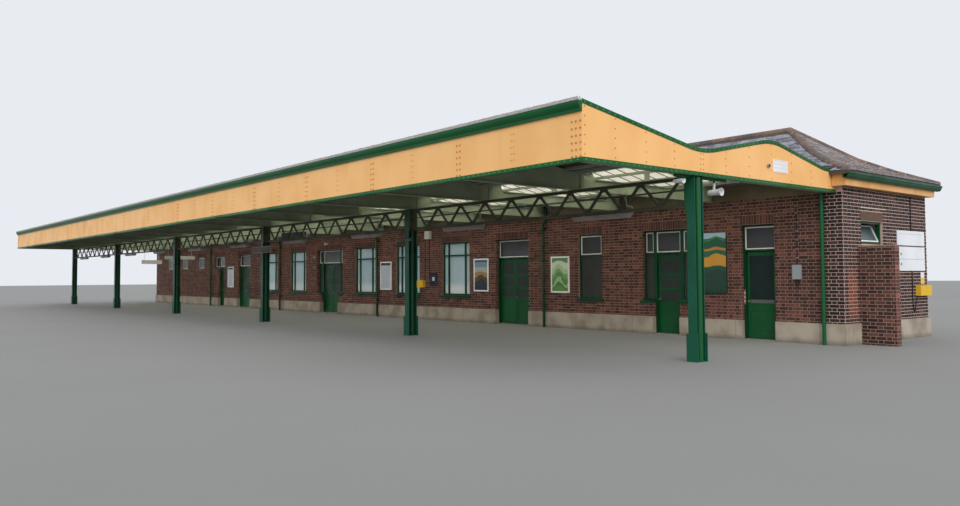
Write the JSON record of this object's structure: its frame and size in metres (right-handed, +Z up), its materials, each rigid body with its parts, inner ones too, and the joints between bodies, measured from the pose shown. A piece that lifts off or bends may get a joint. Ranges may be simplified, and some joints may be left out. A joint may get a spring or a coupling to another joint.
{
  "type": "half-scale railway station building with platform canopy",
  "caption": "Long single-storey brick station range with a hipped slate roof, hinged doors and a steel platform canopy on columns; 1:2 scale model.",
  "frame": {"origin": "on the ground under the middle of the whole, canopy, eaves and screen wall included", "axes": "+X along the building towards the end with the screen wall, -Y towards the track, +Z up"},
  "size_m": [22.91, 6.278, 2.635],
  "materials": {
    "board_grey": "dark grey painted board",
    "brick": "red brick in lime mortar",
    "concrete": "trowelled concrete",
    "deck_timber": "dark stained boards under grey sheet",
    "frosted_glass": "obscured",
    "grey_metal": "grey enamel",
    "hinge_steel": "dark green paint",
    "pipe_green": "green gloss paint on cast iron",
    "render": "weathered cement render",
    "roof_glass": "wired cast glass",
    "slate": "weathered slate with lichen",
    "steel_buff": "golden buff gloss paint",
    "steel_dark": "dark green paint",
    "steel_green": "mid green gloss paint",
    "steel_pale": "pale green paint",
    "steel_teal": "blue-green gloss paint",
    "timber_buff": "golden buff paint on timber",
    "timber_green": "dark green gloss paint on timber",
    "timber_white": "off-white gloss paint on timber",
    "white_metal": "white enamel",
    "zinc": "dull grey sheet"
  },
  "bodies": {
    "building": {"canopy_glass": "roof_glass", "canopy_gutters": "zinc", "canopy_ribs": "steel_pale", "columns": "steel_teal", "crest_capping": "zinc", "door_frames": "timber_green", "door_heads": "brick", "door_hinges": "hinge_steel", "downpipes": "pipe_green", "eaves_far": "timber_buff", "eaves_front": "timber_buff", "eaves_near": "timber_buff", "eaves_rear": "timber_buff", "end_angles": "steel_green", "end_copings": "steel_green", "end_fascias": "steel_buff", "end_gutters": "steel_green", "end_walls": "brick", "floor_slab": "concrete", "foot_plates": "steel_teal", "front_angle": "steel_green", "front_capping": "steel_green", "front_deck": "deck_timber", "front_fascia": "steel_buff", "front_wall": "brick", "hanging_signs": "white_metal", "lattice_girders": "steel_dark", "light_boards": "board_grey", "light_fittings": "grey_metal", "plinths": "render", "poster_boards": "timber_white", "purlins": "steel_pale", "rain_pipes": "pipe_green", "rear_gutter": "steel_green", "rear_wall": "brick", "ridge_tiles": "slate", "roof_far": "slate", "roof_front": "slate", "roof_near": "slate", "roof_rear": "slate", "screen_wall": "brick", "speakers": "white_metal", "valley_outlets": "pipe_green", "wall_bearer": "steel_pale", "wall_boxes": "grey_metal", "wall_signs": "white_metal", "white_sashes": "timber_white", "window_frames": "timber_green", "window_glass": "frosted_glass", "window_sills": "timber_green"},
    "near_door": {"near_door": "timber_green"},
    "side_door": {"side_door": "timber_green"},
    "waiting_door_far": {"waiting_door_far": "timber_green"},
    "waiting_door_near": {"waiting_door_near": "timber_green"},
    "hall_door_far": {"hall_door_far": "timber_green"},
    "hall_door_near": {"hall_door_near": "timber_green"},
    "office_door_far": {"office_door_far": "timber_green"},
    "office_door_near": {"office_door_near": "timber_green"},
    "far_door": {"far_door": "timber_green"}
  },
  "joints": [
    {"name": "near_door_hinge", "type": "hinge", "parent": "building", "child": "near_door", "pos_m": [10.237, 0.983, 0.54], "axis": [0, 0, -1], "range_deg": [0, 90]},
    {"name": "side_door_hinge", "type": "hinge", "parent": "building", "child": "side_door", "pos_m": [8.9205, 0.983, 0.54], "axis": [0, 0, -1], "range_deg": [0, 90]},
    {"name": "waiting_door_far_hinge", "type": "hinge", "parent": "building", "child": "waiting_door_far", "pos_m": [5.4085, 0.983, 0.54], "axis": [0, 0, 1], "range_deg": [0, 90]},
    {"name": "waiting_door_near_hinge", "type": "hinge", "parent": "building", "child": "waiting_door_near", "pos_m": [6.1275, 0.983, 0.54], "axis": [0, 0, -1], "range_deg": [0, 90]},
    {"name": "hall_door_far_hinge", "type": "hinge", "parent": "building", "child": "hall_door_far", "pos_m": [-0.399, 0.983, 0.54], "axis": [0, 0, 1], "range_deg": [0, 90]},
    {"name": "hall_door_near_hinge", "type": "hinge", "parent": "building", "child": "hall_door_near", "pos_m": [0.295, 0.983, 0.54], "axis": [0, 0, -1], "range_deg": [0, 90]},
    {"name": "office_door_far_hinge", "type": "hinge", "parent": "building", "child": "office_door_far", "pos_m": [-4.8365, 0.983, 0.54], "axis": [0, 0, 1], "range_deg": [0, 90]},
    {"name": "office_door_near_hinge", "type": "hinge", "parent": "building", "child": "office_door_near", "pos_m": [-4.1175, 0.983, 0.54], "axis": [0, 0, -1], "range_deg": [0, 90]},
    {"name": "far_door_hinge", "type": "hinge", "parent": "building", "child": "far_door", "pos_m": [-5.744, 0.983, 0.54], "axis": [0, 0, -1], "range_deg": [0, 90]}
  ]
}
